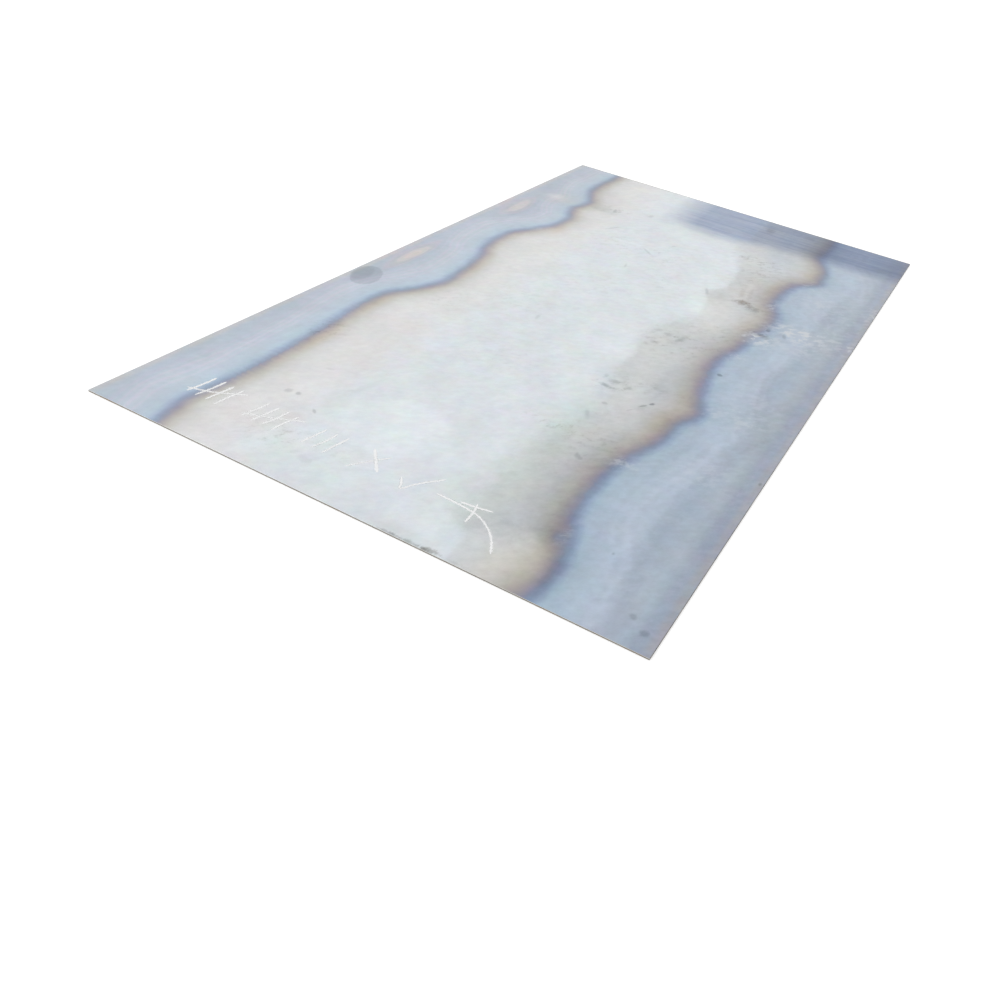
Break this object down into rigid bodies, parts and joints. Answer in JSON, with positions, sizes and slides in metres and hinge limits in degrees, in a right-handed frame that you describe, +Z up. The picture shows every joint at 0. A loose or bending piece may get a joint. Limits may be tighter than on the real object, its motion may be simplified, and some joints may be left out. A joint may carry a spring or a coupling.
{
  "type": "steel plate",
  "caption": "Flat rectangular steel plate, cut to length from coil, with round mill edges along its sides, sheared ends and blue and straw heat tints; lies flat as stock.",
  "frame": {"origin": "centre of the underside, the face that the plate lies on", "axes": "+X across the plate's width, +Y along its length (the rolling direction), towards the end that was sheared last, +Z up through its thickness"},
  "size_m": [1.22, 2.2, 0.004],
  "materials": {
    "steel": "satin rolled steel: silver grey middle, straw, brown and blue heat tints towards the edges, thin oil film, fine scratches",
    "chalk": "dry white marking chalk, broken over the steel's texture"
  },
  "bodies": {
    "root": {"plate": "steel"}
  },
  "joints": []
}
